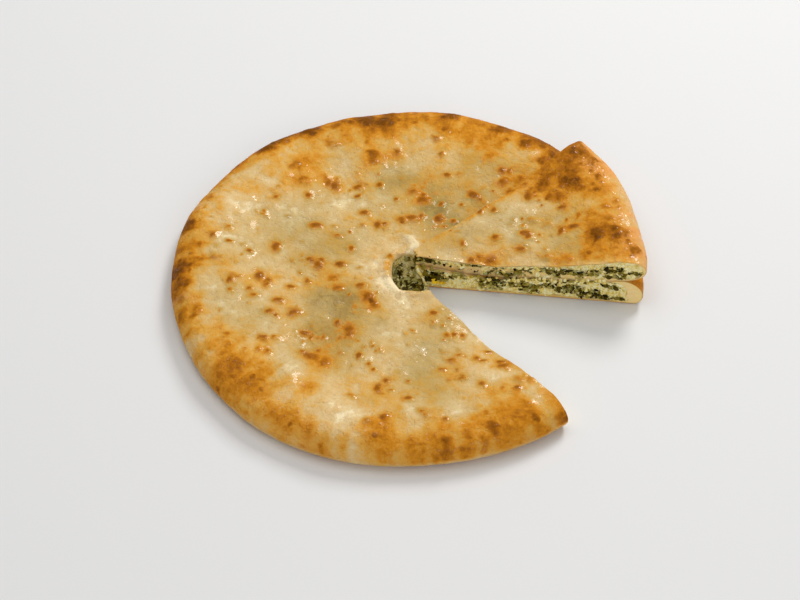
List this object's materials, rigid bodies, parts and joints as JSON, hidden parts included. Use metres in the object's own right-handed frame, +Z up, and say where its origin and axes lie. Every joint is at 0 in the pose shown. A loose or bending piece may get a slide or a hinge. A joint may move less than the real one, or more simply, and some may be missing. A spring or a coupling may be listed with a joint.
{
  "type": "ossetian pie",
  "caption": "Thin round filled bread with a browned, blistered crust and a steam hole. A wedge cut from it lies on top, and the cuts show greens and curd cheese.",
  "frame": {"origin": "under the middle of the pie, on the surface that it lies on", "axes": "+Z up out of the top crust, +X to the right in the picture and -Y towards the viewer. The gap left by the wedge opens between +X and -Y, and the wedge lies on the crust beside it, on the +X side"},
  "size_m": [0.3049, 0.3075, 0.039],
  "materials": {
    "crust": "baked dough, pale gold to brown, brushed with butter",
    "filling": "moist curd cheese with chopped greens"
  },
  "bodies": {
    "root": {"pie_crust": "crust", "pie_filling": "filling", "slice_crust": "crust", "slice_filling": "filling"}
  },
  "joints": []
}
